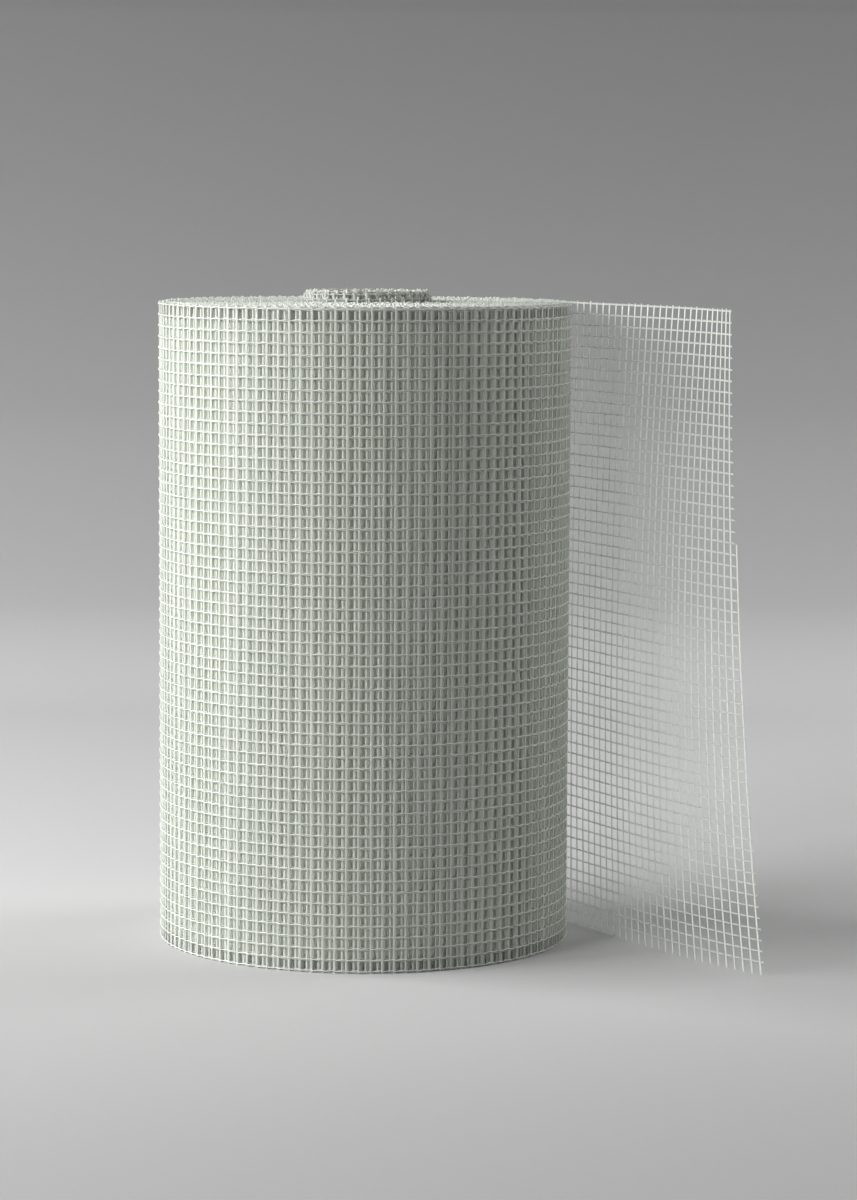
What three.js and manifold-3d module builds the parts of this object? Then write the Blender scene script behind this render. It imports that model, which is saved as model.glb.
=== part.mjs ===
// A roll of open-weave fibreglass mesh that stands on its end, with the outer end of its web hanging loose.
// The web is one continuous piece, so the wound roll and the loose end are one solid.
// Millimetres, +Z up, the viewer is on the -Y side and the loose end leaves on the +X side.
import * as THREE from 'three';
import { mergeVertices } from 'three/addons/utils/BufferGeometryUtils.js';
import Module from 'manifold-3d';

// The web and its winding.
const webWidth = 292; // between the cut tips of the yarns, which is the height of the standing roll
const webThickness = 0.9; // at a yarn crossing
const turnPitch = 0.52; // what each turn adds to the radius, less than the thickness because the yarns nest
const rollDiameter = 189;
const boreDiameter = 50;

// The innermost turns stand proud of the upper end.
const proudTurns = 12;
const proudHeight = 5;
const proudChamfer = 1.2;

// Grooves between bundles of turns show the winding on both ends.
const turnsPerRidge = 16;
const grooveWidth = 1.2;
const grooveDepth = 1;

// The loose end leaves the roll along a tangent and sways as it hangs.
const leaveAngle = 40; // degrees from +X, anticlockwise seen from above
const looseLength = 184.5; // along the top edge, from the tangent line to the cut yarn tips
const cutSlant = 5; // how much longer the bottom edge is than the top edge
const lapLength = 12; // the stretch that runs into the wound turns before the tangent line

// Degrees that the loose end has turned towards the viewer since it left the roll, at the start,
// a third, two thirds and the whole of its length. The rows are the bottom edge, the middle and the top edge.
const looseSway = [
  [0, 11, 7.4, -2.4],
  [0, 13.7, 12.4, 10.1],
  [0, 9.5, 13.2, 30.8],
];

// Coarse openings stand for the mesh of the loose end, and have its open share.
const openingColumns = 7;
const openingRows = 12;
const openShare = 0.62;
const closedStretch = 22; // along the loose end, where it still lies close to the wound turns
const cutDepth = 12;

// How finely round and swaying shapes are divided.
const roundSegments = 72;
const looseStations = 18;
const looseLevels = 6;
const headingSteps = 24;

const rollRadius = rollDiameter / 2;
const boreRadius = boreDiameter / 2;
const proudRadius = boreRadius + proudTurns * turnPitch;
const proudTop = webWidth + proudHeight;

const radians = THREE.MathUtils.degToRad;

const wasm = await Module();
wasm.setup();

// The value at u, from 0 to 1, of the polynomial through evenly spaced values.
function throughValues(values, u) {
  const last = values.length - 1;
  return values.reduce((sum, value, i) => {
    const weight = values.reduce((product, _, j) => (i === j ? product : (product * (u * last - j)) / (i - j)), 1);
    return sum + value * weight;
  }, 0);
}

// One end of the roll from its inner to its outer edge: flat ridges with a V groove between each two.
// The sign of inward is the direction from the face into the roll.
function endFace(innerRadius, level, inward) {
  const width = rollRadius - innerRadius;
  const ridges = Math.max(1, Math.round(width / (turnsPerRidge * turnPitch)));
  const points = [new THREE.Vector2(innerRadius, level)];
  for (let i = 1; i < ridges; i++) {
    const middle = innerRadius + (i * width) / ridges;
    points.push(new THREE.Vector2(middle - grooveWidth / 2, level));
    points.push(new THREE.Vector2(middle, level + inward * grooveDepth));
    points.push(new THREE.Vector2(middle + grooveWidth / 2, level));
  }
  points.push(new THREE.Vector2(rollRadius, level));
  return points;
}

// The wound web, turned about its axis: bottom end, outer wall, top end, proud inner turns and bore.
// The first vertex of each ring lies on the line where the loose end leaves.
function woundTurns() {
  const profile = [
    ...endFace(boreRadius, 0, 1),
    ...endFace(proudRadius, webWidth, -1).reverse(),
    new THREE.Vector2(proudRadius, proudTop - proudChamfer),
    new THREE.Vector2(proudRadius - proudChamfer, proudTop),
    new THREE.Vector2(boreRadius, proudTop),
    new THREE.Vector2(boreRadius, 0),
  ];
  const geometry = new THREE.LatheGeometry(profile, roundSegments, radians(leaveAngle + 90));
  return geometry.rotateX(Math.PI / 2);
}

// The length of the loose end at a height, which is a share of the web's width.
function lengthAt(up) {
  return looseLength + cutSlant * (1 - up);
}

// The direction of the loose end in plan, in radians from +X towards the viewer.
// Before the tangent line it bends at half the roll's radius, which takes it into the wound turns.
function headingAt(distance, up) {
  const leaving = radians(90 - leaveAngle);
  if (distance < 0) return leaving + distance / (rollRadius / 2);
  const sway = looseSway.map((row) => throughValues(row, distance / lengthAt(up)));
  return leaving + radians(throughValues(sway, up));
}

// The plan point of the loose end's middle surface, found by adding up short steps along its heading.
function planPoint(distance, up) {
  const startRadius = rollRadius - webThickness / 2;
  const point = new THREE.Vector2(Math.cos(radians(leaveAngle)), Math.sin(radians(leaveAngle)));
  point.multiplyScalar(startRadius);
  const step = distance / headingSteps;
  for (let i = 0; i < headingSteps; i++) {
    const heading = headingAt((i + 0.5) * step, up);
    point.x += step * Math.cos(heading);
    point.y -= step * Math.sin(heading);
  }
  return point;
}

// The loose end: a unit box whose length, thickness and height are laid along the swaying web.
function looseEnd() {
  const box = new THREE.BoxGeometry(1, 1, 1, looseStations, 1, looseLevels);
  const position = box.getAttribute('position');
  for (let i = 0; i < position.count; i++) {
    const up = position.getZ(i) + 0.5;
    const along = position.getX(i) + 0.5;
    const distance = along * (lengthAt(up) + lapLength) - lapLength;
    const heading = headingAt(distance, up);
    const offset = position.getY(i) * webThickness;
    const point = planPoint(distance, up);
    point.x += offset * Math.sin(heading);
    point.y += offset * Math.cos(heading);
    position.setXYZ(i, point.x, point.y, up * webWidth);
  }
  return box;
}

// The blocks that the openings of the loose end are cut with, each square to the web at its middle.
function openingBlocks() {
  const blocks = [];
  const side = Math.sqrt(openShare);
  const height = webWidth / openingRows;
  for (let row = 0; row < openingRows; row++) {
    const up = (row + 0.5) / openingRows;
    const width = (lengthAt(up) - closedStretch) / openingColumns;
    for (let column = 0; column < openingColumns; column++) {
      const distance = closedStretch + (column + 0.5) * width;
      const point = planPoint(distance, up);
      const turned = -THREE.MathUtils.radToDeg(headingAt(distance, up));
      const block = wasm.Manifold.cube([side * width, cutDepth, side * height], true);
      blocks.push(block.rotate([0, 0, turned]).translate([point.x, point.y, up * webWidth]));
    }
  }
  return wasm.Manifold.union(blocks);
}

// A manifold solid of a closed geometry.
function solidOf(geometry) {
  const bare = new THREE.BufferGeometry();
  bare.setAttribute('position', geometry.getAttribute('position'));
  bare.setIndex(geometry.getIndex());
  const merged = mergeVertices(bare, 1e-4);
  return new wasm.Manifold(new wasm.Mesh({
    numProp: 3,
    vertProperties: new Float32Array(merged.getAttribute('position').array),
    triVerts: new Uint32Array(merged.getIndex().array),
  }));
}

// The three.js geometry of a manifold solid.
function geometryOf(solid) {
  const { vertProperties, triVerts } = solid.getMesh();
  const geometry = new THREE.BufferGeometry();
  geometry.setAttribute('position', new THREE.BufferAttribute(vertProperties, 3));
  geometry.setIndex(new THREE.BufferAttribute(triVerts, 1));
  geometry.computeVertexNormals();
  return geometry;
}

// Glass yarn with a clear coating: near white with a green cast.
const coatedGlassYarn = new THREE.MeshStandardMaterial({ color: 0xdfe6dc, roughness: 0.55, metalness: 0 });

const openLooseEnd = solidOf(looseEnd()).subtract(openingBlocks());
const meshRoll = new THREE.Mesh(geometryOf(solidOf(woundTurns()).add(openLooseEnd)), coatedGlassYarn);
meshRoll.name = 'mesh_roll';

// The origin is the middle of the space that the roll and its loose end take up on the floor.
const roll = new THREE.Group();
roll.add(meshRoll);
const extent = new THREE.Box3().setFromObject(roll);
const middle = extent.getCenter(new THREE.Vector3());
roll.position.set(-middle.x, -middle.y, -extent.min.z);

export default roll;
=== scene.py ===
"""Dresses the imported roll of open-weave glass mesh with its real yarns, in a pale studio.

The web is one strip of leno weave. A place on it is a distance and a height, both in metres. The distance
runs along the strip from the line where the loose end leaves the roll: it is positive towards the cut end
and negative back into the winding. The height runs across the strip, from its lower to its upper cut edge.
Wefts stand upright on the roll, and warps run round it. Turns are counted from the outside inwards.
"""
import logging
import math
from dataclasses import dataclass, replace
from enum import Enum
from typing import Any

import bpy
import numpy as np
from mathutils import Matrix, Vector


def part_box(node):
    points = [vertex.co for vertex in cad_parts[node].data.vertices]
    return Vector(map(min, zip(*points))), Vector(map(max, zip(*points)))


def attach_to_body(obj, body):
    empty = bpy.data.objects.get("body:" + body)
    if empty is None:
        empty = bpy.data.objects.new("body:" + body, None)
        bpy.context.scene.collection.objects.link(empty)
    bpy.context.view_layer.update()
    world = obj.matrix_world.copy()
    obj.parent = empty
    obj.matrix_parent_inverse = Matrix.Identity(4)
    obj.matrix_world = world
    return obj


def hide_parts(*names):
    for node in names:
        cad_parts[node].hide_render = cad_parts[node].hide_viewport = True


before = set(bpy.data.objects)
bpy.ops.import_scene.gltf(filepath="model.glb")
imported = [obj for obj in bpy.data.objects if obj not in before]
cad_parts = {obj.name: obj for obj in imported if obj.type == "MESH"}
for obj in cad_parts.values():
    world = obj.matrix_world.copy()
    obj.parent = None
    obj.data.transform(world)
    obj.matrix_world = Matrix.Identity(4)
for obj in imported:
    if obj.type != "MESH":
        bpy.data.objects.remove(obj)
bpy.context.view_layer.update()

NODE = "mesh_roll"
BODY = "root"
MM = 0.001
ROLL_RADIUS = 94.5 * MM

Socket = bpy.types.NodeSocket
Mesh = bpy.types.Mesh

log = logging.getLogger("mesh_roll")


class WarpForm(Enum):
    """How a warp is drawn: as the strand that shows over each weft, or as its two twisted strands."""

    FRONT_STRAND = "front strand"
    TWISTED_PAIR = "twisted pair"


@dataclass(frozen=True)
class Weave:
    """The leno weave: the sizes of its yarns and of its openings.

    Each warp is two strands that twist half round each other between wefts, so one of them passes over a
    weft and the other one passes under it.
    """

    width: float = 292 * MM
    warp_pitch: float = 5 * MM
    weft_pitch: float = 5.25 * MM
    warp_count: int = 59
    edge_margin: float = 1 * MM
    last_weft: float = 181.85 * MM
    weft_half_width: float = 0.66 * MM
    weft_half_thickness: float = 0.15 * MM
    strand_half_width: float = 0.25 * MM
    strand_half_thickness: float = 0.17 * MM
    strand_lift: float = 0.3 * MM
    strand_step: float = 0.24 * MM

    def weft_distance(self, index: float) -> float:
        """Returns the distance of a weft, counted back from the last one that runs the whole width."""
        return self.last_weft - index * self.weft_pitch

    def weft_index_before(self, distance: float) -> int:
        """Returns the index of the first weft that lies at this distance or further into the winding."""
        return math.ceil((self.last_weft - distance) / self.weft_pitch)

    def warp_height(self, row: int) -> float:
        """Returns the height of a warp, counted from the lowest one."""
        return self.edge_margin + row * self.warp_pitch


def through_values(values: np.ndarray, share: np.ndarray) -> np.ndarray:
    """Evaluates the polynomial through evenly spaced values.

    Args:
        values: The values, along the first axis.
        share: Where to evaluate it, from 0 at the first value to 1 at the last.

    Returns:
        The polynomial's value at each share.
    """
    last = len(values) - 1
    total = 0.0
    for i, value in enumerate(values):
        weight = 1.0
        for j in range(len(values)):
            if j != i:
                weight = weight * (share * last - j) / (i - j)
        total = total + weight * value
    return total


@dataclass(frozen=True)
class WebPath:
    """The strip's way through space: wound turns at negative distances, the loose end at positive ones."""

    weave: Weave
    axis: Vector
    roll_radius: float = ROLL_RADIUS
    bore_radius: float = 25 * MM
    turn_pitch: float = 0.52 * MM
    web_thickness: float = 0.9 * MM
    leave_angle: float = math.radians(40)
    loose_length: float = 184.5 * MM
    cut_slant: float = 5 * MM
    # Degrees of turn towards the viewer at the start, a third, two thirds and the whole of the loose length,
    # for the lower edge, the middle and the upper edge.
    sway: tuple[tuple[float, ...], ...] = (
        (0, 11, 7.4, -2.4),
        (0, 13.7, 12.4, 10.1),
        (0, 9.5, 13.2, 30.8),
    )
    # The innermost turns are pushed up out of the roll, over the number of turns that they take to rise.
    proud_height: float = 5 * MM
    proud_turns: float = 12
    rise_turns: float = 5
    # The turns' ends don't lie quite level. Their waver sets in after the first turn.
    end_waver: float = 0.6 * MM
    waver_phase: float = 0.63
    slow_waver: float = 0.4
    slow_waver_rate: float = 1.9
    waver_settles_over: float = 0.5
    # On one side the outermost turns hang slack, with a gap behind them.
    slack_turns: float = 2.5
    slack_gap: float = 1.5 * MM
    slack_angle: float = math.radians(200)
    slack_reach: float = 0.3
    integration_steps: int = 400

    @property
    def start_radius(self) -> float:
        """The radius of the web's middle surface where the loose end leaves."""
        return self.roll_radius - self.web_thickness / 2

    @property
    def turns(self) -> float:
        """How many turns are wound between the bore and the outside."""
        return (self.start_radius - self.bore_radius) / self.turn_pitch

    @property
    def innermost(self) -> float:
        """The distance of the web's inner end, at the bore."""
        return self.distance_at_turn(self.turns)

    def distance_at_turn(self, turn: float) -> float:
        """Returns the distance at the end of so many turns."""
        angle = turn * math.tau
        return -(self.start_radius * angle - self.turn_pitch * angle * angle / (2 * math.tau))

    def turn_at(self, distance: np.ndarray) -> np.ndarray:
        """Turns distances inside the winding into turns.

        Args:
            distance: The distances. Positive ones count as zero.

        Returns:
            How many turns lie between the leaving line and each distance.
        """
        growth = self.turn_pitch / math.tau
        back = np.maximum(-distance, 0)
        left = np.sqrt(np.maximum(self.start_radius**2 - 2 * growth * back, 0))
        return (self.start_radius - left) / growth / math.tau

    def lift_at(self, turn: np.ndarray) -> np.ndarray:
        """Finds how far each place of the winding is shifted up, which is most at the innermost turns.

        Args:
            turn: How many turns lie outside each place.

        Returns:
            The shift of each place in metres.
        """
        into_proud = np.clip((turn - (self.turns - self.proud_turns)) / self.rise_turns, 0, 1)
        proud = self.proud_height * into_proud * into_proud * (3 - 2 * into_proud)
        slow = self.slow_waver * np.sin(turn * self.slow_waver_rate)
        waver = np.sin(turn * math.pi - self.waver_phase) + slow
        settle = np.clip((turn - 1) / self.waver_settles_over, 0, 1)
        return proud + self.end_waver * waver * settle

    def wound(self, distance: np.ndarray) -> tuple[np.ndarray, np.ndarray, np.ndarray]:
        """Finds places in the winding.

        Args:
            distance: Distances at or below zero.

        Returns:
            The plan points, the outward plan normals and the upward shift at each distance.
        """
        turn = self.turn_at(distance)
        angle = self.leave_angle + turn * math.tau
        inside = np.clip(turn - self.slack_turns + 0.5, 0, 1)
        ease = np.clip((np.cos(angle - self.slack_angle) - self.slack_reach) / (1 - self.slack_reach), 0, 1)
        radius = self.start_radius - self.turn_pitch * turn - self.slack_gap * inside * ease * ease
        outward = np.stack([np.cos(angle), np.sin(angle)], -1)
        plan = np.array(self.axis.xy) + radius[:, None] * outward
        return plan, outward, self.lift_at(turn)

    def loose(self, distance: np.ndarray, up: float) -> tuple[np.ndarray, np.ndarray]:
        """Finds places on the loose end at one height.

        Args:
            distance: Distances at or above zero.
            up: The height as a share of the web's width.

        Returns:
            The plan points and the outward plan normals at each distance.
        """
        length = self.loose_length + self.cut_slant * (1 - up)
        sway = through_values(np.array(self.sway), np.float64(up))
        leaving = math.pi / 2 - self.leave_angle
        steps = np.linspace(0, max(distance.max(), length), self.integration_steps)
        heading = leaving + np.radians(through_values(sway, steps / length))
        stride = steps[1] - steps[0]
        run = np.stack([np.cos(heading), -np.sin(heading)], -1)
        moved = np.concatenate([np.zeros((1, 2)), np.cumsum((run[1:] + run[:-1]) / 2 * stride, axis=0)])
        first = self.start_radius * np.array([math.cos(self.leave_angle), math.sin(self.leave_angle)])
        plan = np.array(self.axis.xy) + first + moved
        at = np.stack([np.interp(distance, steps, plan[:, i]) for i in (0, 1)], -1)
        turned = np.interp(distance, steps, heading)
        return at, np.stack([np.sin(turned), np.cos(turned)], -1)

    def row(self, distance: np.ndarray, height: float) -> tuple[np.ndarray, np.ndarray]:
        """Finds places of the web along one height.

        Args:
            distance: The places' distances.
            height: Their height.

        Returns:
            The points and the outward normals.
        """
        wound_plan, wound_outward, lift = self.wound(np.minimum(distance, 0))
        loose_plan, loose_outward = self.loose(np.maximum(distance, 0), height / self.weave.width)
        is_loose = (distance > 0)[:, None]
        plan = np.where(is_loose, loose_plan, wound_plan)
        outward = np.where(is_loose, loose_outward, wound_outward)
        z = height + np.where(distance > 0, 0, lift)
        points = np.concatenate([plan, z[:, None]], axis=1)
        normals = np.concatenate([outward, np.zeros((len(distance), 1))], axis=1)
        return points, normals


@dataclass(frozen=True)
class GuideSurface:
    """A bare surface that follows part of the web, which the yarns are then laid on."""

    path: WebPath
    start: float
    end: float
    low: float
    high: float
    stations: int
    levels: int = 2
    # The surface reaches a little past the yarns' ends, so that each point of a yarn finds a place on it.
    spare: float = 2 * MM

    def mesh(self, name: str) -> Mesh:
        """Builds the surface as a grid.

        Args:
            name: The mesh's name.

        Returns:
            The mesh. Its UV map "web" holds distance and height, and "outward" is each vertex's normal.
        """
        distances = np.linspace(self.start, self.end, self.stations)
        heights = np.linspace(self.low - self.spare, self.high + self.spare, self.levels)
        rows = [self.path.row(distances, height) for height in heights]
        points = np.concatenate([row[0] for row in rows])
        normals = np.concatenate([row[1] for row in rows])
        web = np.array([(distance, height) for height in heights for distance in distances])
        faces = []
        for k in range(self.levels - 1):
            for i in range(self.stations - 1):
                at = k * self.stations + i
                faces.append((at, at + 1, at + 1 + self.stations, at + self.stations))
        mesh = bpy.data.meshes.new(name)
        mesh.from_pydata(points.tolist(), [], faces)
        layer = mesh.uv_layers.new(name="web")
        corners = np.zeros(len(mesh.loops), np.int32)
        mesh.loops.foreach_get("vertex_index", corners)
        layer.data.foreach_set("uv", web[corners].ravel().astype(np.float32))
        outward = mesh.attributes.new("outward", "FLOAT_VECTOR", "POINT")
        outward.data.foreach_set("vector", normals.ravel().astype(np.float32))
        return mesh


class NodeSheet:
    """Adds nodes to one node tree and links them, so that a tree reads as a list of steps."""

    def __init__(self, tree: bpy.types.NodeTree) -> None:
        """Starts a sheet on a tree."""
        self.tree = tree

    def add(self, kind: str, feeds: dict[Any, Any] | None = None, **settings: Any) -> bpy.types.Node:
        """Adds a node.

        Args:
            kind: The node's type name.
            feeds: What goes into each input, by name or number: a socket, or a plain value.
            **settings: Properties of the node, set before its inputs.

        Returns:
            The node.
        """
        node = self.tree.nodes.new(kind)
        for key, value in settings.items():
            setattr(node, key, value)
        for key, value in (feeds or {}).items():
            if isinstance(value, Socket):
                self.tree.links.new(value, node.inputs[key])
            else:
                node.inputs[key].default_value = value
        return node

    def math(self, operation: str, *values: Any) -> Socket:
        """Returns the result of a Math node with these inputs."""
        return self.add("ShaderNodeMath", dict(enumerate(values)), operation=operation).outputs[0]

    def plus(self, a: Any, b: Any) -> Socket:
        """Returns a + b."""
        return self.math("ADD", a, b)

    def minus(self, a: Any, b: Any) -> Socket:
        """Returns a - b."""
        return self.math("SUBTRACT", a, b)

    def times(self, a: Any, b: Any) -> Socket:
        """Returns a times b."""
        return self.math("MULTIPLY", a, b)

    def ramp(self, value: Any, start: float, end: float, low: float, high: float, **settings: Any) -> Socket:
        """Returns low where the value is at start, high where it is at end, and a blend in between."""
        feeds = {0: value, 1: start, 2: end, 3: low, 4: high}
        return self.add("ShaderNodeMapRange", feeds, **settings).outputs[0]

    def blend(self, share: Socket, first: tuple[float, ...], second: tuple[float, ...]) -> Socket:
        """Returns a colour between two colours."""
        feeds = {0: share, 6: (*first, 1), 7: (*second, 1)}
        return self.add("ShaderNodeMix", feeds, data_type="RGBA").outputs[2]

    def vector(self, x: Any, y: Any, z: Any) -> Socket:
        """Returns a vector of three numbers."""
        return self.add("ShaderNodeCombineXYZ", {0: x, 1: y, 2: z}).outputs[0]

    def parts(self, vector: Socket) -> tuple[Socket, ...]:
        """Returns the X, Y and Z of a vector."""
        return tuple(self.add("ShaderNodeSeparateXYZ", {0: vector}).outputs)

    def noise(self, vector: Any, scale: float, detail: float = 2.0) -> Socket:
        """Returns a noise from 0 to 1 at a vector."""
        feeds = {"Vector": vector, "Scale": scale, "Detail": detail}
        return self.add("ShaderNodeTexNoise", feeds).outputs["Fac"]

    def place(self) -> Socket:
        """Returns the position of the geometry's points."""
        return self.add("GeometryNodeInputPosition").outputs[0]

    def moved(self, geometry: Socket, position: Socket) -> Socket:
        """Returns the geometry with its points at new positions."""
        return self.add("GeometryNodeSetPosition", {"Geometry": geometry, "Position": position}).outputs[0]


class YarnTree:
    """A Geometry Nodes tree that weaves one kind of yarn flat and then lays it on the guide surface."""

    FLOATS: tuple[str, ...] = ()
    COUNTS = ("Count", "Steps", "Sides", "Seed")
    SHARED_FLOATS = ("Spacing", "Half Width", "Half Thickness", "Flatness", "Wander", "Uneven Width")
    # The yarns' places in the noise lie this far apart, so that each one wanders in its own way.
    NOISE_SPREAD = 91.7

    def __init__(self, name: str) -> None:
        """Builds the tree with named inputs.

        Args:
            name: The node group's name.
        """
        self.group = bpy.data.node_groups.new(name, "GeometryNodeTree")
        face = self.group.interface
        face.new_socket("Surface", in_out="INPUT", socket_type="NodeSocketGeometry")
        for label in (*self.FLOATS, *self.SHARED_FLOATS):
            face.new_socket(label, in_out="INPUT", socket_type="NodeSocketFloat")
        for label in self.COUNTS:
            face.new_socket(label, in_out="INPUT", socket_type="NodeSocketInt")
        face.new_socket("Finish", in_out="INPUT", socket_type="NodeSocketMaterial")
        face.new_socket("Yarns", in_out="OUTPUT", socket_type="NodeSocketGeometry")
        self.sheet = NodeSheet(self.group)
        self.given = self.sheet.add("NodeGroupInput").outputs
        self.finish(self.lay(self.tubes(self.flat_yarns())))

    def flat_yarns(self) -> Socket:
        """Returns the yarns' middle lines, flat in the plane of distance and height."""
        raise NotImplementedError

    def copies(self, along: tuple[float, float, float], start: Socket, stride: Socket) -> Socket:
        """Repeats a unit line and gives each copy its own random number.

        Args:
            along: The unit line's direction.
            start: The first copy's place.
            stride: The step from copy to copy.

        Returns:
            The lines as curves with the attribute "strand", a random number from 0 to 1 for each.
        """
        sheet, given = self.sheet, self.given
        line = sheet.add("GeometryNodeCurvePrimitiveLine", {"End": along}).outputs[0]
        points = sheet.plus(given["Steps"], 1)
        line = sheet.add("GeometryNodeResampleCurve", {"Curve": line, "Count": points}).outputs[0]
        spread = {"Count": given["Count"], "Start Location": start, "Offset": stride}
        places = sheet.add("GeometryNodeMeshLine", spread).outputs[0]
        placed = sheet.add("GeometryNodeInstanceOnPoints", {"Points": places, "Instance": line}).outputs[0]
        chance = sheet.add("FunctionNodeRandomValue", {"Seed": given["Seed"]}, data_type="FLOAT").outputs[1]
        named = self.store(placed, "strand", chance, "INSTANCE")
        return sheet.add("GeometryNodeRealizeInstances", {0: named}).outputs[0]

    def store(self, geometry: Socket, name: str, value: Any, domain: str = "POINT") -> Socket:
        """Returns the geometry with a number stored on it as a named attribute."""
        kind = "GeometryNodeStoreNamedAttribute"
        feeds = {"Geometry": geometry, "Name": name, "Value": value}
        return self.sheet.add(kind, feeds, data_type="FLOAT", domain=domain).outputs[0]

    def named(self, name: str, data_type: str = "FLOAT") -> Socket:
        """Returns a named attribute's value."""
        kind = "GeometryNodeInputNamedAttribute"
        return self.sheet.add(kind, {"Name": name}, data_type=data_type).outputs[0]

    def wander(self, along: Socket, scale: float) -> Socket:
        """Works out how far a yarn wanders to the side.

        Args:
            along: The place along the yarn.
            scale: How fast the wandering changes along it.

        Returns:
            The sideways shift, different for each yarn.
        """
        sheet = self.sheet
        place = sheet.vector(along, sheet.times(self.named("strand"), self.NOISE_SPREAD), 0.0)
        swing = sheet.minus(sheet.noise(place, scale, 1.0), 0.5)
        return sheet.times(sheet.times(swing, 2.0), self.given["Wander"])

    def tubes(self, lines: Socket) -> Socket:
        """Thickens the lines to closed tubes of a flattened round section.

        Args:
            lines: The yarns' middle lines, with the attribute "thick".

        Returns:
            The tubes. The attribute "across" runs from -1 to 1 over the section's width.
        """
        sheet, given = self.sheet, self.given
        feeds = {"Resolution": given["Sides"], "Radius": 1.0}
        circle = sheet.add("GeometryNodeCurvePrimitiveCircle", feeds).outputs[0]
        place = sheet.place()
        across, thickness, _ = sheet.parts(place)
        breadth = sheet.math("POWER", sheet.math("ABSOLUTE", across), given["Flatness"])
        sideways = sheet.times(sheet.math("SIGN", across), breadth)
        circle = sheet.moved(circle, sheet.vector(sideways, thickness, 0.0))
        circle = self.store(circle, "across", sheet.parts(place)[0])
        size = sheet.vector(given["Half Width"], given["Half Thickness"], 1.0)
        profile = sheet.add("GeometryNodeTransform", {"Geometry": circle, "Scale": size}).outputs[0]
        upright = sheet.add("GeometryNodeSetCurveNormal", {"Curve": lines}, mode="Z_UP").outputs[0]
        feeds = {"Curve": upright, "Profile Curve": profile, "Scale": self.named("thick"), "Fill Caps": True}
        return sheet.add("GeometryNodeCurveToMesh", feeds).outputs[0]

    def lay(self, flat: Socket) -> Socket:
        """Bends the flat yarns onto the guide surface.

        Args:
            flat: The yarns, at distance, height and depth as X, Y and Z.

        Returns:
            The yarns in space, with their faces outwards.
        """
        sheet = self.sheet
        place = sheet.place()
        distance, height, off = sheet.parts(place)
        spot = sheet.vector(distance, height, 0.0)
        web = self.named("web", "FLOAT_VECTOR")
        on_surface = []
        for value in (place, self.named("outward", "FLOAT_VECTOR")):
            feeds = {"Mesh": self.given["Surface"], "Value": value, "UV Map": web, "Sample UV": spot}
            found = sheet.add("GeometryNodeSampleUVSurface", feeds, data_type="FLOAT_VECTOR")
            on_surface.append(found.outputs[0])
        middle, outward = on_surface
        lifted = sheet.add("ShaderNodeVectorMath", {0: outward, "Scale": off}, operation="SCALE").outputs[0]
        target = sheet.add("ShaderNodeVectorMath", {0: middle, 1: lifted}, operation="ADD").outputs[0]
        return sheet.add("GeometryNodeFlipFaces", {0: sheet.moved(flat, target)}).outputs[0]

    def finish(self, geometry: Socket) -> None:
        """Ends the tree: smooth faces, real geometry and the finish.

        Args:
            geometry: The laid yarns.
        """
        sheet = self.sheet
        smooth = sheet.add("GeometryNodeSetShadeSmooth", {"Geometry": geometry}).outputs[0]
        real = sheet.add("GeometryNodeRealizeInstances", {0: smooth}).outputs[0]
        dressed = sheet.add("GeometryNodeSetMaterial", {"Geometry": real, "Material": self.given["Finish"]})
        sheet.add("NodeGroupOutput", {0: dressed.outputs[0]})

    def weave(self, name: str, surface: GuideSurface, values: dict[str, Any]) -> Mesh:
        """Runs the tree on a guide surface.

        Args:
            name: The new mesh's name.
            surface: The guide surface.
            values: The tree's inputs by name.

        Returns:
            The yarns as a plain mesh.
        """
        carrier = bpy.data.objects.new(name, surface.mesh(name))
        bpy.context.scene.collection.objects.link(carrier)
        modifier = carrier.modifiers.new("yarns", "NODES")
        modifier.node_group = self.group
        for item in self.group.interface.items_tree:
            if item.in_out == "INPUT" and item.name in values:
                modifier[item.identifier] = values[item.name]
        graph = bpy.context.evaluated_depsgraph_get()
        mesh = bpy.data.meshes.new_from_object(carrier.evaluated_get(graph), depsgraph=graph)
        carrier.modifiers.remove(modifier)
        bare = carrier.data
        bpy.data.objects.remove(carrier)
        bpy.data.meshes.remove(bare)
        return mesh


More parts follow.
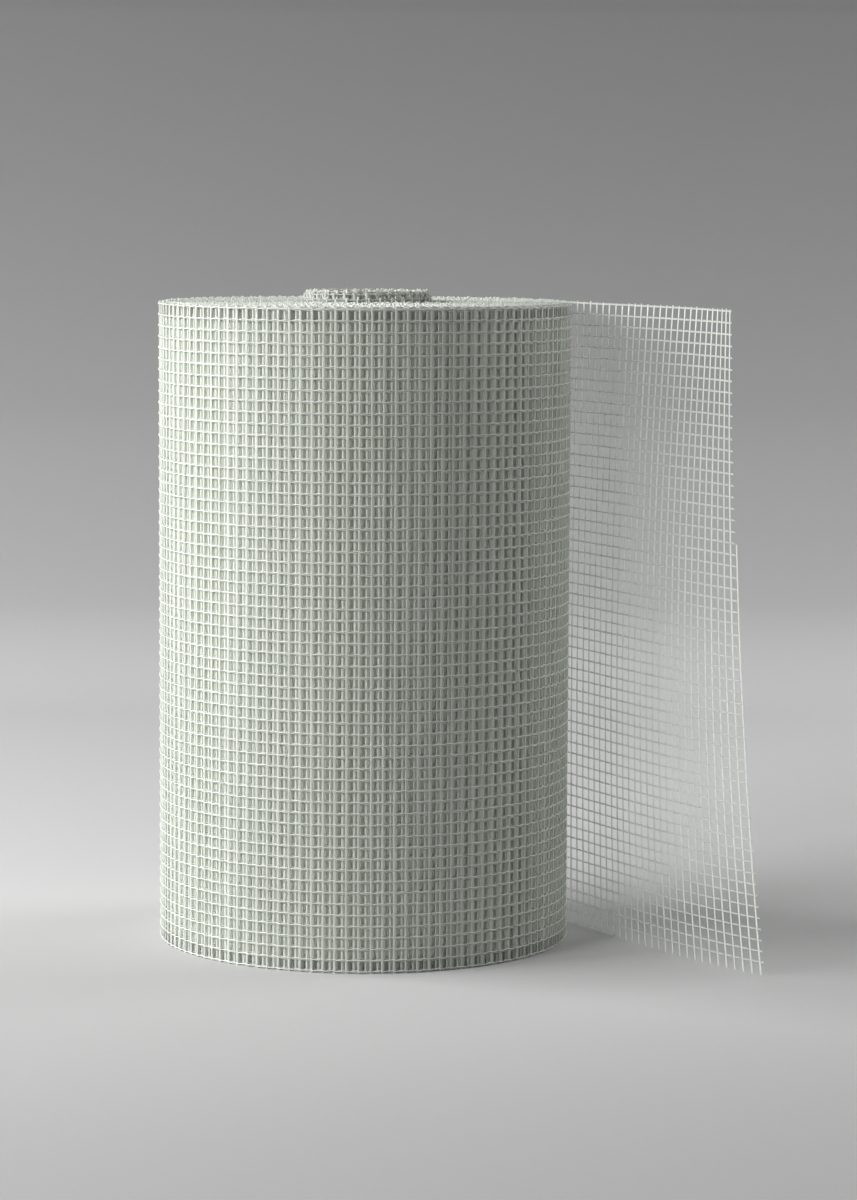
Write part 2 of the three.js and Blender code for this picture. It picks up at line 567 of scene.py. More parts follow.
class WeftTree(YarnTree):
    """Weaves the flat upright yarns."""

    FLOATS = ("First", "Bottom", "Top", "Jitter", "Tip Spread", "Lean")
    # Two more random numbers for each weft are the fractions of these multiples of its first one.
    SECOND_DRAW = 37.3
    THIRD_DRAW = 211.9
    WANDER_SCALE = 24.0

    def flat_yarns(self) -> Socket:
        """Draws upright lines, one for each weft, with uneven spacing and uneven cut tips.

        Returns:
            The lines, with the attributes "thick" and "along".
        """
        sheet, given = self.sheet, self.given
        start = sheet.vector(given["First"], 0.0, 0.0)
        stride = sheet.vector(sheet.times(given["Spacing"], -1.0), 0.0, 0.0)
        lines = self.copies((0, 1, 0), start, stride)
        distance, share, _ = sheet.parts(sheet.place())
        chance = self.named("strand")
        second = sheet.math("FRACT", sheet.times(chance, self.SECOND_DRAW))
        third = sheet.math("FRACT", sheet.times(chance, self.THIRD_DRAW))
        tip = sheet.times(sheet.minus(second, 1.0), given["Tip Spread"])
        reach = sheet.plus(sheet.minus(given["Top"], given["Bottom"]), tip)
        height = sheet.plus(given["Bottom"], sheet.times(share, reach))
        jitter = sheet.times(sheet.minus(chance, 0.5), given["Jitter"])
        lean = sheet.times(sheet.times(share, share), sheet.times(given["Lean"], third))
        side = sheet.plus(sheet.plus(jitter, self.wander(height, self.WANDER_SCALE)), lean)
        lines = sheet.moved(lines, sheet.vector(sheet.plus(distance, side), height, 0.0))
        uneven = sheet.times(sheet.minus(third, 0.5), given["Uneven Width"])
        lines = self.store(lines, "thick", sheet.plus(1.0, uneven))
        return self.store(lines, "along", height)


class WarpTree(YarnTree):
    """Weaves the yarns that run round the roll."""

    FLOATS = (
        "First", "Start", "End at Bottom", "End at Top", "Ragged", "Cell", "Phase", "Lift", "Step",
        "Web Width",
    )
    # A lone front strand is this much thicker between wefts, where it stands for both strands.
    BETWEEN_WEFTS = 0.75
    WANDER_SCALE = 40.0
    # Keeps a point that lies on a cell's border out of the cell before it.
    HAIR = 1e-4

    def __init__(self, name: str, form: WarpForm) -> None:
        """Builds the tree.

        Args:
            name: The node group's name.
            form: How the warp is drawn.
        """
        self.form = form
        super().__init__(name)

    def flat_yarns(self) -> Socket:
        """Draws level lines that climb over the wefts as the twisted strands do.

        Returns:
            The lines, with the attributes "thick" and "along".
        """
        sheet, given = self.sheet, self.given
        start = sheet.vector(0.0, given["First"], 0.0)
        stride = sheet.vector(0.0, given["Spacing"], 0.0)
        lines = self.copies((1, 0, 0), start, stride)
        share, height, _ = sheet.parts(sheet.place())
        up = sheet.math("DIVIDE", height, given["Web Width"])
        slant = sheet.times(up, sheet.minus(given["End at Top"], given["End at Bottom"]))
        ragged = sheet.times(sheet.minus(self.named("strand"), 0.5), given["Ragged"])
        end = sheet.plus(sheet.plus(given["End at Bottom"], slant), ragged)
        distance = sheet.plus(given["Start"], sheet.times(share, sheet.minus(end, given["Start"])))
        cells = sheet.math("DIVIDE", sheet.minus(distance, given["Start"]), given["Cell"])
        rise, side, thick = self.strand_shape(sheet.plus(cells, given["Phase"]))
        sideways = sheet.plus(sheet.times(side, given["Step"]), self.wander(distance, self.WANDER_SCALE))
        off = sheet.times(rise, given["Lift"])
        lines = sheet.moved(lines, sheet.vector(distance, sheet.plus(height, sideways), off))
        lines = self.store(lines, "thick", thick)
        return self.store(lines, "along", distance)

    def strand_shape(self, cells: Socket) -> tuple[Any, ...]:
        """Works out the strand's shape.

        Args:
            cells: The strand's distance in cells, which is whole midway between wefts.

        Returns:
            The rise off the web, the shift across it and the thickness, each as a share of its full size.
        """
        sheet = self.sheet
        if self.form is WarpForm.TWISTED_PAIR:
            turned = sheet.times(sheet.minus(cells, 0.5), math.pi)
            return sheet.math("COSINE", turned), sheet.math("SINE", turned), 1.0
        into = sheet.minus(sheet.math("FRACT", sheet.plus(cells, self.HAIR)), 0.5)
        rise = sheet.math("COSINE", sheet.times(into, math.pi))
        side = sheet.math("SINE", sheet.times(into, math.tau))
        thick = sheet.minus(1 + self.BETWEEN_WEFTS, sheet.times(rise, self.BETWEEN_WEFTS))
        return rise, side, thick


def empty_material(name: str) -> tuple[bpy.types.Material, NodeSheet]:
    """Makes a material without nodes.

    Args:
        name: The material's name.

    Returns:
        The material and a sheet on its tree.
    """
    material = bpy.data.materials.new(name)
    material.use_nodes = True
    material.node_tree.nodes.clear()
    return material, NodeSheet(material.node_tree)


@dataclass(frozen=True)
class YarnFinish:
    """Coated glass yarn: fine filaments under a clear coating. The inner turns wear paler, slightly greener
    copies of it, which is painted light for the light that scatters deep into the roll.
    """

    name: str
    pale: tuple[float, float, float]
    deep: tuple[float, float, float]
    # The share of light that the yarn passes on as a glow, and the share that goes straight through it.
    glow: float
    clear: float
    roughness: float = 0.5
    uneven_roughness: float = 0.2
    coat: float = 0.25
    coat_roughness: float = 0.35
    sheen: float = 0.15
    # Filaments over half the yarn's width, and along a metre of it, where they are far longer than wide.
    filaments_across: float = 5
    filaments_along: float = 160
    patches_along: float = 30
    filament_height: float = 0.2 * MM
    filament_strength: float = 0.35
    # How much filaments and patches count in the colour, and the sums at which it is all deep and all pale.
    filament_share: float = 0.55
    patch_share: float = 0.6
    shade_range: tuple[float, float] = (0.38, 0.78)
    # The yarns' places in the noise lie this far apart, so that no two look the same.
    yarns_apart: float = 173.0

    def material(self) -> bpy.types.Material:
        """Makes the material, which reads the yarn's own attributes, or finds the one that was made before.

        Returns:
            The material.
        """
        if self.name in bpy.data.materials:
            return bpy.data.materials[self.name]
        material, sheet = empty_material(self.name)
        along, across, strand = (
            sheet.add("ShaderNodeAttribute", attribute_name=name).outputs["Fac"]
            for name in ("along", "across", "strand")
        )
        apart = sheet.times(strand, self.yarns_apart)
        fine = sheet.vector(
            sheet.times(across, self.filaments_across), sheet.times(along, self.filaments_along), apart
        )
        filaments = sheet.noise(fine, 1.0, 3.0)
        patches = sheet.noise(sheet.vector(sheet.times(along, self.patches_along), 0.0, apart), 1.0)
        both = sheet.plus(sheet.times(filaments, self.filament_share), sheet.times(patches, self.patch_share))
        colour = sheet.blend(sheet.ramp(both, *self.shade_range, 0.0, 1.0), self.deep, self.pale)
        height = {"Strength": self.filament_strength, "Distance": self.filament_height, "Height": filaments}
        uneven = sheet.times(filaments, self.uneven_roughness)
        shader = sheet.add("ShaderNodeBsdfPrincipled", {
            "Base Color": colour,
            "Roughness": sheet.plus(uneven, self.roughness - self.uneven_roughness / 2),
            "Normal": sheet.add("ShaderNodeBump", height).outputs[0],
            "Coat Weight": self.coat,
            "Coat Roughness": self.coat_roughness,
            "Sheen Weight": self.sheen,
        })
        through = sheet.add("ShaderNodeBsdfTranslucent", {"Color": colour}).outputs[0]
        body = sheet.add("ShaderNodeMixShader", {0: self.glow, 1: shader.outputs[0], 2: through}).outputs[0]
        clear = sheet.add("ShaderNodeBsdfTransparent").outputs[0]
        yarn = sheet.add("ShaderNodeMixShader", {0: self.clear, 1: body, 2: clear}).outputs[0]
        sheet.add("ShaderNodeOutputMaterial", {0: yarn})
        return material


OUTER_WEFT = YarnFinish("outer_weft", pale=(0.84, 0.86, 0.83), deep=(0.72, 0.75, 0.7), glow=0.5, clear=0.2)
OUTER_WARP = YarnFinish("outer_warp", pale=(0.88, 0.89, 0.86), deep=(0.78, 0.8, 0.76), glow=0.3, clear=0.05)
# The inner finishes are paler, slightly greener copies of the outer weft: painted light for the light that
# scatters deep into the roll.
INNER_WEFT = YarnFinish("inner_weft", pale=(0.9, 0.92, 0.88), deep=(0.78, 0.81, 0.75), glow=0.5, clear=0.25)
INNER_WARP = replace(INNER_WEFT, name="inner_warp", glow=0.45, clear=0.2)
EDGE_YARN = replace(OUTER_WEFT, name="edge_yarn")
# The fringe's yarn is the outer weft with a darker, browner deep tone: painted shade of the fringe's back
# row, inside the ring.
SHADED_FRINGE_YARN = replace(OUTER_WEFT, name="shaded_fringe_yarn", pale=(0.86, 0.86, 0.83), deep=(0.55, 0.53, 0.49))


@dataclass(frozen=True)
class InnerFinish:
    """The turns too deep to be drawn yarn by yarn: pale green-grey stripes and rows, with painted shade
    between them for the darkness deep in the openings.
    """

    path: WebPath
    name: str = "inner_turns"
    pale: tuple[float, float, float] = (0.86, 0.89, 0.82)
    # The deep colour fills the openings between the stripes and rows: painted shade of the winding behind
    # them.
    deep: tuple[float, float, float] = (0.46, 0.5, 0.4)
    roughness: float = 0.6
    # Where each layer's stripes lie, as shares of a cell, and how much fainter each layer is than the last,
    # which paints the deeper layers as more shaded.
    stripe_phases: tuple[float, ...] = (0.13, 0.47, 0.81)
    painted_shade_per_layer: float = 0.3
    # Where a stripe's and a row's edge starts and ends, as shares of a cell from its middle line.
    stripe_edge: tuple[float, float] = (0.1, 0.17)
    row_edge: tuple[float, float] = (0.06, 0.12)
    row_strength: float = 0.9
    stripe_height: float = 0.4 * MM
    stripe_strength: float = 0.5
    mottle_scale: float = 300.0
    mottle_least: float = 0.6
    mottle_range: float = 0.5

    def material(self) -> bpy.types.Material:
        """Makes the material, on object coordinates.

        Returns:
            The material.
        """
        material, sheet = empty_material(self.name)
        weave, axis = self.path.weave, self.path.axis
        place = sheet.add("ShaderNodeTexCoord").outputs["Object"]
        x, y, z = sheet.parts(place)
        angle = sheet.math("ARCTAN2", sheet.minus(y, axis.y), sheet.minus(x, axis.x))
        cells = sheet.times(angle, round(math.tau * self.path.roll_radius / weave.weft_pitch) / math.tau)
        rows = sheet.math("DIVIDE", sheet.minus(z, weave.edge_margin), weave.warp_pitch)
        # Where the cover is low, the colour falls to the deep tone: painted shade in the openings.
        cover = sheet.ramp(sheet.math("PINGPONG", rows, 0.5), *self.row_edge, self.row_strength, 0.0)
        for layer, phase in enumerate(self.stripe_phases):
            wave = sheet.math("PINGPONG", sheet.plus(cells, phase), 0.5)
            stripe = sheet.ramp(wave, *self.stripe_edge, 1.0 - self.painted_shade_per_layer * layer, 0.0)
            cover = sheet.math("MAXIMUM", cover, stripe)
        specks = sheet.times(sheet.noise(place, self.mottle_scale, 3.0), self.mottle_range)
        mottle = sheet.plus(self.mottle_least, specks)
        height = {"Strength": self.stripe_strength, "Distance": self.stripe_height, "Height": cover}
        shader = sheet.add("ShaderNodeBsdfPrincipled", {
            "Base Color": sheet.blend(sheet.times(cover, mottle), self.deep, self.pale),
            "Roughness": self.roughness,
            "Normal": sheet.add("ShaderNodeBump", height).outputs[0],
        })
        sheet.add("ShaderNodeOutputMaterial", {0: shader.outputs[0]})
        return material


def joined(name: str, meshes: list[Mesh]) -> bpy.types.Object:
    """Joins meshes into one object at the origin.

    Args:
        name: The object's name.
        meshes: The meshes, which are used up.

    Returns:
        The object, linked to the scene.
    """
    objects = []
    for mesh in meshes:
        part = bpy.data.objects.new(name, mesh)
        bpy.context.scene.collection.objects.link(part)
        objects.append(part)
    if len(objects) > 1:
        with bpy.context.temp_override(active_object=objects[0], selected_editable_objects=objects):
            bpy.ops.object.join()
    objects[0].name = name
    objects[0].data.name = name
    return objects[0]


class Loom:
    """Weaves runs of wefts and warps on guide surfaces, with trees that are made once."""

    def __init__(self, weave: Weave) -> None:
        """Makes the trees.

        Args:
            weave: The weave's sizes.
        """
        self.weave = weave
        self.weft_tree = WeftTree("weave_wefts")
        self.warp_trees = {form: WarpTree(f"weave_{form.name.lower()}", form) for form in WarpForm}

    def wefts(
        self, name: str, surface: GuideSurface, finish: YarnFinish, run: tuple[float, int], **changes: Any
    ) -> Mesh:
        """Weaves a run of wefts.

        Args:
            name: The mesh's name.
            surface: The guide surface.
            finish: The yarns' finish.
            run: The index of the first weft, and how many wefts there are.
            **changes: Inputs of the tree that differ from the usual ones, with underscores for spaces.

        Returns:
            The wefts.
        """
        first, count = run
        values = {
            "First": self.weave.weft_distance(first),
            "Spacing": self.weave.weft_pitch,
            "Count": count,
            "Bottom": 0.0,
            "Top": self.weave.width,
            "Steps": self.weave.warp_count,
            "Sides": 6,
            "Half Width": self.weave.weft_half_width,
            "Half Thickness": self.weave.weft_half_thickness,
            "Flatness": 0.4,
            "Jitter": 0.2 * MM,
            "Wander": 0.25 * MM,
            "Uneven Width": 0.2,
            "Tip Spread": 0.5 * MM,
            "Seed": 3,
            "Finish": finish.material(),
        }
        values.update({key.replace("_", " "): value for key, value in changes.items()})
        return self.weft_tree.weave(name, surface, values)

    def warps(
        self, name: str, surface: GuideSurface, finish: YarnFinish, run: tuple[float, int], points: float,
        form: WarpForm = WarpForm.FRONT_STRAND, **changes: Any,
    ) -> Mesh:
        """Weaves the warps over a run of wefts.

        Args:
            name: The mesh's name.
            surface: The guide surface.
            finish: The yarns' finish.
            run: The index of the weft in the cell nearest to the cut end, and how many cells there are.
            points: How many points each cell has.
            form: How the warps are drawn.
            **changes: Inputs of the tree that differ from the usual ones, with underscores for spaces.

        Returns:
            The warps.
        """
        first, cells = run
        end = self.weave.weft_distance(first) + self.weave.weft_pitch / 2
        values = {
            "First": self.weave.warp_height(0),
            "Spacing": self.weave.warp_pitch,
            "Count": self.weave.warp_count,
            "Start": end - cells * self.weave.weft_pitch,
            "End at Bottom": end,
            "End at Top": end,
            "Cell": self.weave.weft_pitch,
            "Steps": round(cells * points),
            "Sides": 4,
            "Lift": self.weave.strand_lift,
            "Step": self.weave.strand_step,
            "Half Width": self.weave.strand_half_width,
            "Half Thickness": self.weave.strand_half_thickness,
            "Flatness": 1.0,
            "Wander": 0.12 * MM,
            "Web Width": self.weave.width,
            "Seed": 11,
            "Finish": finish.material(),
        }
        values.update({key.replace("_", " "): value for key, value in changes.items()})
        return self.warp_trees[form].weave(name, surface, values)


@dataclass
class WovenPiece:
    """What every piece of yarns starts from."""

    name: str
    loom: Loom
    path: WebPath

    # The guide surface runs this much further round than the yarns do.
    MARGIN = 12 * MM

    def run(self, outer: float, inner: float) -> tuple[int, int]:
        """Returns the index of the first weft between two distances, and how many lie between them."""
        first = self.path.weave.weft_index_before(outer)
        return first, self.path.weave.weft_index_before(inner) - first


@dataclass
class WoundTurn(WovenPiece):
    """One whole turn near the outside of the roll, drawn yarn by yarn."""

    turn: int
    weft_finish: YarnFinish
    warp_finish: YarnFinish
    weft_sides: int = 6
    weft_steps: int = 30
    cell_points: float = 3
    warp_sides: int = 4
    # How far the wefts have drifted round the roll, as a share of the space between them.
    drift: float = 0.0
    warp_breadth: float = 1.0

    def build(self) -> list[bpy.types.Object]:
        """Builds the turn's wefts and warps.

        Returns:
            The wefts' object and the warps' object.
        """
        weave = self.path.weave
        outer = self.path.distance_at_turn(self.turn)
        inner = self.path.distance_at_turn(self.turn + 1)
        first, count = self.run(outer, inner)
        surface = GuideSurface(
            self.path, inner - self.MARGIN, outer + self.MARGIN, 0.0, weave.width, stations=3 * count
        )
        drifted = (first + self.drift, count)
        wefts = self.loom.wefts(
            self.name, surface, self.weft_finish, drifted,
            Sides=self.weft_sides, Steps=self.weft_steps, Seed=3 + self.turn,
        )
        warps = self.loom.warps(
            self.name, surface, self.warp_finish, drifted, self.cell_points,
            Sides=self.warp_sides, Seed=11 + self.turn,
            Half_Width=weave.strand_half_width * self.warp_breadth,
        )
        return [joined(self.name + "_wefts", [wefts]), joined(self.name + "_warps", [warps])]


@dataclass
class TurnEdges(WovenPiece):
    """The edge of every wound turn at one end of the roll: the edge warp and the cut weft tips."""

    at_top: bool
    cell_points: float = 1
    sides: int = 3
    depth: float = 7 * MM
    tip_spread: float = 0.8 * MM
    stations_a_turn: int = 56

    def build(self) -> list[bpy.types.Object]:
        """Builds the edges as one spiral.

        Returns:
            The edges' object.
        """
        weave = self.path.weave
        low = weave.width - self.depth if self.at_top else 0.0
        high = weave.width if self.at_top else self.depth
        edge = weave.warp_height(weave.warp_count - 1 if self.at_top else 0)
        stations = round(self.path.turns * self.stations_a_turn)
        surface = GuideSurface(self.path, self.path.innermost, self.MARGIN, low, high, stations)
        run = self.run(0, self.path.innermost + self.MARGIN)
        tips = self.loom.wefts(
            self.name, surface, EDGE_YARN, run,
            Sides=self.sides, Steps=1, Bottom=low, Top=high, Tip_Spread=self.tip_spread,
        )
        warp = self.loom.warps(
            self.name, surface, EDGE_YARN, run, self.cell_points, Sides=self.sides, First=edge, Count=1
        )
        return [joined(self.name, [tips, warp])]


@dataclass
class ProudFringe(WovenPiece):
    """The weft tips of the innermost turns, which stand up as a fringe round the bore."""

    turns: int = 9
    depth: float = 6 * MM
    steps: int = 4
    tip_spread: float = 1.2 * MM
    scatter: float = 1.6 * MM
    lean: float = 2 * MM
    stations_a_turn: int = 60

    def build(self) -> list[bpy.types.Object]:
        """Builds the fringe.

        Returns:
            The fringe's object.
        """
        top = self.path.weave.width
        bottom = top - self.depth
        outer = self.path.distance_at_turn(self.path.turns - self.turns)
        stations = self.turns * self.stations_a_turn
        surface = GuideSurface(self.path, self.path.innermost, outer + self.MARGIN, bottom, top, stations)
        run = self.run(outer, self.path.innermost + self.MARGIN)
        tips = self.loom.wefts(
            self.name, surface, SHADED_FRINGE_YARN, run, Steps=self.steps, Bottom=bottom, Top=top,
            Tip_Spread=self.tip_spread, Jitter=self.scatter, Lean=self.lean,
        )
        return [joined(self.name, [tips])]


@dataclass
class BoreTurn(WovenPiece):
    """The innermost turn, whose inner side is the bore's wall."""

    turns: float = 1.3
    weft_steps: int = 30
    cell_points: float = 2
    warp_sides: int = 3
    stations: int = 100

    def build(self) -> list[bpy.types.Object]:
        """Builds the bore's wall.

        Returns:
            The wall's object.
        """
        weave = self.path.weave
        outer = self.path.distance_at_turn(self.path.turns - self.turns)
        surface = GuideSurface(
            self.path, self.path.innermost, outer + self.MARGIN, 0.0, weave.width, self.stations
        )
        run = self.run(outer, self.path.innermost + self.MARGIN)
        wefts = self.loom.wefts(self.name, surface, INNER_WEFT, run, Steps=self.weft_steps)
        warps = self.loom.warps(
            self.name, surface, INNER_WEFT, run, self.cell_points,
            Sides=self.warp_sides, Lift=-weave.strand_lift,
        )
        return [joined(self.name, [wefts, warps])]


@dataclass
class LooseEnd(WovenPiece):
    """The end of the web that hangs off the roll, with both strands of every warp."""

    stations: int = 90
    levels: int = 60
    cell_points: int = 4
    weft_half_width: float = 0.5 * MM
    strand_half_width: float = 0.2 * MM
    # The lowest warp ends here, and leaves the weft tips below it free.
    free_warp_end: float = 83.5 * MM
    # One more weft lies beyond the last whole one, and stops at this height.
    short_weft_top: float = 191 * MM
    warp_tip: float = 2.6 * MM
    ragged: float = 0.8 * MM

    def build(self) -> list[bpy.types.Object]:
        """Builds the loose end.

        Returns:
            The loose end's object.
        """
        weave, path = self.path.weave, self.path
        reach = path.loose_length + self.MARGIN + path.cut_slant
        surface = GuideSurface(path, -self.MARGIN, reach, 0.0, weave.width, self.stations, self.levels)
        count = weave.weft_index_before(0)
        meshes = [
            self.loom.wefts(self.name, surface, OUTER_WEFT, (0, count), Half_Width=self.weft_half_width),
            self.loom.wefts(
                self.name, surface, OUTER_WEFT, (-1, 1),
                Top=self.short_weft_top, Half_Width=self.weft_half_width,
            ),
        ]
        end = weave.last_weft + self.warp_tip
        free = {"First": weave.warp_height(0), "Count": 1, "End_at_Bottom": self.free_warp_end,
                "End_at_Top": self.free_warp_end}
        bound = {"First": weave.warp_height(1), "Count": weave.warp_count - 1,
                 "End_at_Bottom": end + path.cut_slant, "End_at_Top": end}
        for phase in (0.0, 1.0):
            for rows in (bound, free):
                meshes.append(
                    self.loom.warps(
                        self.name, surface, OUTER_WEFT, (0, count), self.cell_points, WarpForm.TWISTED_PAIR,
                        Half_Width=self.strand_half_width, Ragged=self.ragged, Phase=phase, **rows,
                    )
                )
        return [joined(self.name, meshes)]


@dataclass
class InnerBody:
    """The bulk of the winding behind the drawn turns, as one turned solid with the bore."""

    name: str
    path: WebPath
    turn: float = 5.3
    bore_wall: float = 0.7 * MM
    recess: float = 2.5 * MM
    # How much of the innermost turns' rise the solid follows, so that their cut tips stand free of it.
    raised_share: float = 0.25
    segments: int = 180
    rings: int = 24

    def build(self) -> list[bpy.types.Object]:
        """Builds the solid, with its ends just below the turns' edges.

        Returns:
            The solid's object.
        """
        loops = self.loops()
        faces = []
        for k in range(len(loops)):
            for i in range(self.segments):
                after = (i + 1) % self.segments
                below = ((k + 1) % len(loops)) * self.segments
                faces.append((k * self.segments + i, k * self.segments + after, below + after, below + i))
        mesh = bpy.data.meshes.new(self.name)
        mesh.from_pydata(np.concatenate(loops).tolist(), [], faces)
        mesh.materials.append(InnerFinish(self.path).material())
        return [joined(self.name, [mesh])]

    def loops(self) -> list[np.ndarray]:
        """Finds the loops of points that the solid's skin runs through.

        Returns:
            The loops: over the top from the outside to the bore, and then the two at the bottom.
        """
        path = self.path
        angles = np.linspace(0, math.tau, self.segments, endpoint=False)
        outer, _, _ = path.wound(np.array([path.distance_at_turn(self.turn + a / math.tau) for a in angles]))
        centre = np.array(path.axis.xy)
        length = np.linalg.norm(outer - centre, axis=1)
        unit = (outer - centre) / length[:, None]
        bore = path.bore_radius + self.bore_wall
        loops = []
        for share in np.linspace(1, 0, self.rings):
            radius = bore + (length - bore) * share
            turn = (path.start_radius - radius) / path.turn_pitch
            lift = path.lift_at(np.minimum(turn, path.turns))
            lift = np.where(turn > path.turns - path.proud_turns, lift * self.raised_share, 0)
            top = path.weave.width - self.recess + lift
            loops.append(np.column_stack([centre + unit * radius[:, None], top]))
        for radius in (np.full(self.segments, bore), length):
            bottom = np.full(self.segments, self.recess)
            loops.append(np.column_stack([centre + unit * radius[:, None], bottom]))
        return loops


@dataclass(frozen=True)
class SoftBox:
    """A rectangular light that faces the roll."""

    name: str
    towards: tuple[float, float, float]
    away: float
    size: tuple[float, float]
    power: float

    def place(self, middle: Vector) -> None:
        """Adds the light to the scene.

        Args:
            middle: The place that it faces, from which "towards" and "away" are measured.
        """
        data = bpy.data.lights.new(self.name, "AREA")
        data.shape = "RECTANGLE"
        data.size, data.size_y = self.size
        data.energy = self.power
        light = bpy.data.objects.new(self.name, data)
        light.location = middle + Vector(self.towards).normalized() * self.away
        light.rotation_euler = Vector(self.towards).to_track_quat("Z", "Y").to_euler()
        bpy.context.scene.collection.objects.link(light)


@dataclass
class Studio:
    """The floor and backdrop in one sweep, the lights and the camera."""

    path: WebPath
    boxes: tuple[SoftBox, ...] = (
        SoftBox("key_front", (-0.7, -0.7, 0.4), 1.9, (0.6, 0.9), 17),
        SoftBox("key_side", (-0.93, -0.22, 0.33), 1.6, (0.9, 0.9), 32),
        SoftBox("key_back", (-0.95, 0.25, 0.3), 1.9, (0.6, 0.9), 26),
        SoftBox("rim", (0.8, 0.7, 0.45), 2.4, (3.0, 1.8), 80),
        SoftBox("right_fill", (0.97, 0.25, 0.2), 2.2, (1.2, 0.8), 12),
    )
    # How strongly the surround lights the roll, and how much brighter it is where it is looked at.
    surround: float = 0.005
    surround_seen: float = 6.0
    # The floor's tone at a place towards the camera and at a place under the roll: a painted pool of light
    # that brightens the floor towards the roll.
    floor_near_camera: float = -0.5
    floor_light_pool: float = 0.1
    floor_pool_tones: tuple[float, float] = (0.42, 0.6)
    paper_roughness: float = 0.85
    # The share of the floor's tone that is left at shares of the painted falloff height up the backdrop:
    # painted light falloff that darkens the backdrop upwards, and a painted side falloff that darkens it to
    # the left.
    painted_falloff_height: float = 0.5
    painted_falloff: tuple[tuple[float, float], ...] = ((0.0, 0.93), (0.1, 0.66), (0.36, 0.46), (0.96, 0.285))
    painted_side_falloff: float = 0.22
    floor_near: float = -2.2
    floor_far: float = 0.75
    sweep_radius: float = 0.45
    sweep_steps: int = 24
    wall_top: float = 2.4
    half_width: float = 2.6
    # The viewpoint in roll radii from the axis, and the camera's turns, fitted to the roll's outline.
    camera_back: float = 18.095
    camera_up: float = 3.5914
    pitch: float = math.radians(6.151)
    yaw: float = math.radians(0.9814)
    roll: float = math.radians(0.2647)
    lens: float = 112.263
    diffuse_bounces: int = 8

    def build(self) -> None:
        """Builds the stage, the lights and the camera."""
        self.sweep()
        self.lights()
        self.world()
        self.camera()
        # Light bounces often enough between the yarns to make the lit side milky.
        bpy.context.scene.cycles.diffuse_bounces = self.diffuse_bounces
        bpy.context.scene.view_settings.view_transform = "Standard"

    def sweep(self) -> None:
        """Builds the floor and the backdrop that it curves up into."""
        profile = [(self.floor_near, 0.0)]
        for turned in np.linspace(-math.pi / 2, 0, self.sweep_steps):
            back = self.floor_far + self.sweep_radius * math.cos(turned)
            profile.append((back, self.sweep_radius * (1 + math.sin(turned))))
        profile.append((self.floor_far + self.sweep_radius, self.wall_top))
        points = [(x, y, z) for y, z in profile for x in (-self.half_width, self.half_width)]
        faces = [(2 * i, 2 * i + 1, 2 * i + 3, 2 * i + 2) for i in range(len(profile) - 1)]
        mesh = bpy.data.meshes.new("sweep")
        mesh.from_pydata(points, [], faces)
        mesh.shade_smooth()
        mesh.materials.append(self.paper())
        sweep = bpy.data.objects.new("sweep", mesh)
        bpy.context.scene.collection.objects.link(sweep)

    def paper(self) -> bpy.types.Material:
        """Makes the sweep's pale paper, with painted light that brightens the floor under the roll and
        darkens up the backdrop. The paper is clear from behind.

        Returns:
            The material.
        """
        material, sheet = empty_material("studio_paper")
        x, y, z = sheet.parts(sheet.add("ShaderNodeTexCoord").outputs["Object"])
        # Painted light: the floor brightens from the camera towards the roll, and the backdrop darkens
        # upwards and to the left.
        floor = sheet.ramp(
            y, self.floor_near_camera, self.floor_light_pool, *self.floor_pool_tones, interpolation_type="SMOOTHSTEP"
        )
        rise = sheet.add("ShaderNodeValToRGB", {0: sheet.math("DIVIDE", z, self.painted_falloff_height)})
        stops = rise.color_ramp.elements
        rise.color_ramp.interpolation = "CARDINAL"
        for place, value in self.painted_falloff:
            stops.new(place).color = (value, value, value, 1)
        stops.remove(stops[0])
        stops.remove(stops[-1])
        side = sheet.plus(sheet.times(x, self.painted_side_falloff), 1.0)
        shade = sheet.times(sheet.times(floor, rise.outputs[0]), side)
        tone = sheet.add("ShaderNodeCombineColor", {0: shade, 1: shade, 2: shade}).outputs[0]
        front = sheet.add("ShaderNodeBsdfPrincipled", {"Base Color": tone, "Roughness": self.paper_roughness})
        behind = sheet.add("ShaderNodeNewGeometry").outputs["Backfacing"]
        clear = sheet.add("ShaderNodeBsdfTransparent").outputs[0]
        seen = sheet.add("ShaderNodeMixShader", {0: behind, 1: front.outputs[0], 2: clear}).outputs[0]
        sheet.add("ShaderNodeOutputMaterial", {0: seen})
        return material

    def lights(self) -> None:
        """Places the soft boxes."""
        middle = self.path.axis + Vector((0, 0, self.path.weave.width / 2))
        for box in self.boxes:
            box.place(middle)

    def world(self) -> None:
        """Makes the surround, nearly dark to the roll but grey where the camera sees past the sweep."""
        world = bpy.data.worlds.new("surround")
        world.use_nodes = True
        sheet = NodeSheet(world.node_tree)
        looked_at = sheet.add("ShaderNodeLightPath").outputs["Is Camera Ray"]
        strength = sheet.plus(sheet.times(looked_at, self.surround_seen), self.surround)
        world.node_tree.links.new(strength, world.node_tree.nodes["Background"].inputs[1])
        bpy.context.scene.world = world

    def camera(self) -> None:
        """Places the camera at the photograph's viewpoint, for an 857 x 1200 frame."""
        radius = self.path.roll_radius
        ahead = math.cos(self.pitch)
        aside = math.sin(self.yaw)
        forward = Vector((aside * ahead, math.cos(self.yaw) * ahead, -math.sin(self.pitch)))
        level = forward.cross(Vector((0, 0, 1))).normalized()
        upward = level.cross(forward)
        right = math.cos(self.roll) * level + math.sin(self.roll) * upward
        top = math.cos(self.roll) * upward - math.sin(self.roll) * level
        data = bpy.data.cameras.new("camera")
        data.lens = self.lens
        camera = bpy.data.objects.new("camera", data)
        eye = self.path.axis + Vector((0, -self.camera_back * radius, self.camera_up * radius))
        turned = Matrix((right, top, -forward)).transposed().to_4x4()
        camera.matrix_world = Matrix.Translation(eye) @ turned
        bpy.context.scene.collection.objects.link(camera)
        bpy.context.scene.camera = camera


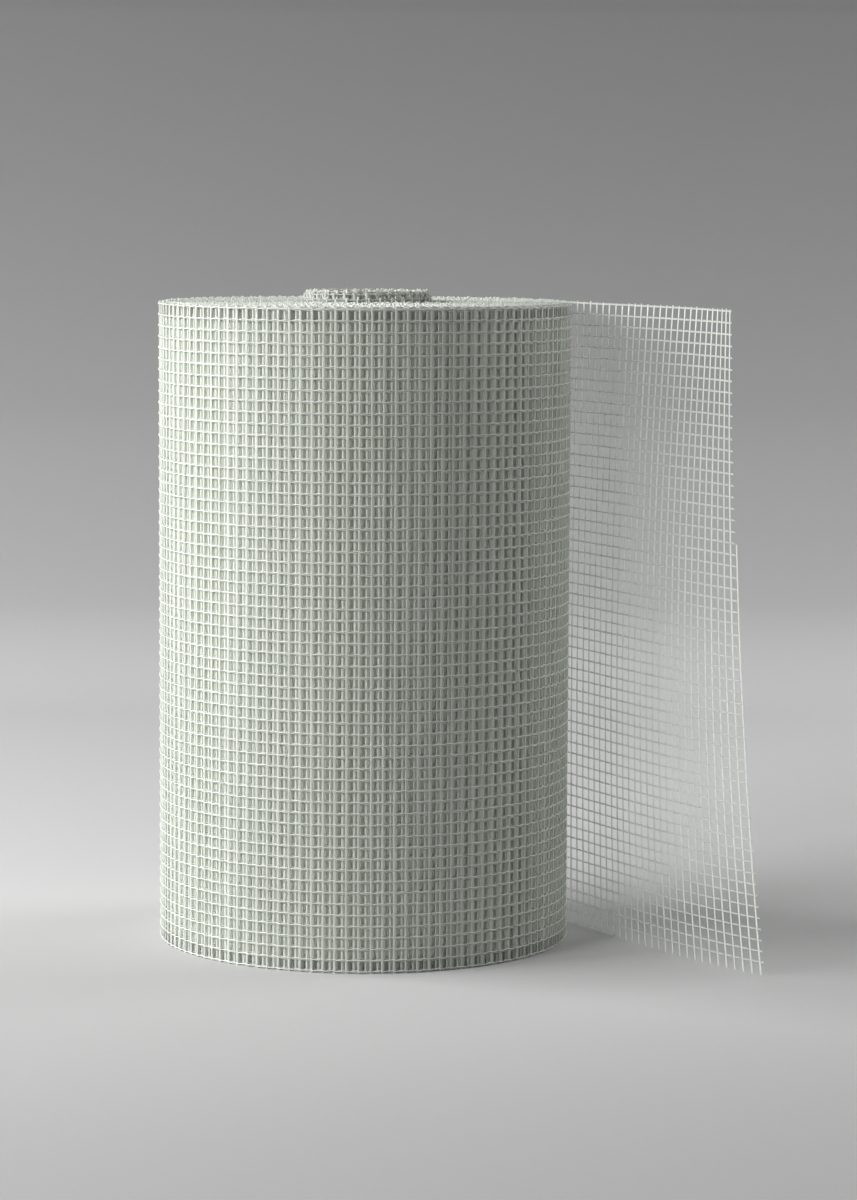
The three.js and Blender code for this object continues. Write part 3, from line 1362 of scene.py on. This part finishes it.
def roll_axis() -> Vector:
    """Returns the roll's axis at floor level, as the roll touches the left and back of the node's box."""
    low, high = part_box(NODE)
    return Vector((low.x + ROLL_RADIUS, high.y - ROLL_RADIUS, 0))


def drawn_turns(loom: Loom, path: WebPath) -> list[WoundTurn]:
    """Lists the turns that are drawn yarn by yarn, which need fewer faces the deeper they lie.

    Args:
        loom: The loom.
        path: The web's path.

    Returns:
        The turns from the outside inwards.
    """
    coarse = {"weft_sides": 4, "warp_sides": 3}
    turns = [
        WoundTurn("outer_turn", loom, path, 0, OUTER_WEFT, OUTER_WARP),
        WoundTurn("second_turn", loom, path, 1, INNER_WEFT, INNER_WARP, weft_steps=20, cell_points=2,
                  drift=0.47, warp_breadth=1.5, **coarse),
        WoundTurn("third_turn", loom, path, 2, INNER_WEFT, INNER_WARP, weft_steps=10, cell_points=1,
                  drift=0.87, warp_breadth=1.7, **coarse),
    ]
    for turn, drift in ((3, -0.13), (4, 0.3)):
        turns.append(
            WoundTurn(f"deep_turn_{turn + 1}", loom, path, turn, INNER_WEFT, INNER_WARP, weft_sides=3,
                      weft_steps=4, cell_points=0.5, warp_sides=3, drift=drift, warp_breadth=1.7)
        )
    return turns


def attach(piece: bpy.types.Object) -> None:
    """Makes a finished piece stand for the CAD roll and ride on its body.

    Args:
        piece: The piece, at the origin.
    """
    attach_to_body(piece, BODY)
    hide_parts(NODE)
    count = sum(len(face.vertices) - 2 for face in piece.data.polygons)
    log.info("%s: %d triangles", piece.name, count)


def main() -> None:
    """Builds the studio and every piece of the roll."""
    logging.basicConfig(level=logging.INFO, format="%(message)s")
    weave = Weave()
    path = WebPath(weave, roll_axis())
    Studio(path).build()
    loom = Loom(weave)
    parts = [
        *drawn_turns(loom, path),
        InnerBody("inner_turns", path),
        TurnEdges("top_edges", loom, path, at_top=True),
        TurnEdges("bottom_edges", loom, path, at_top=False, cell_points=0.5),
        ProudFringe("proud_fringe", loom, path),
        BoreTurn("bore_turn", loom, path),
        LooseEnd("loose_end", loom, path),
    ]
    pieces = [piece for part in parts for piece in part.build()]
    for piece in pieces:
        attach(piece)


if __name__ == "__main__":
    main()
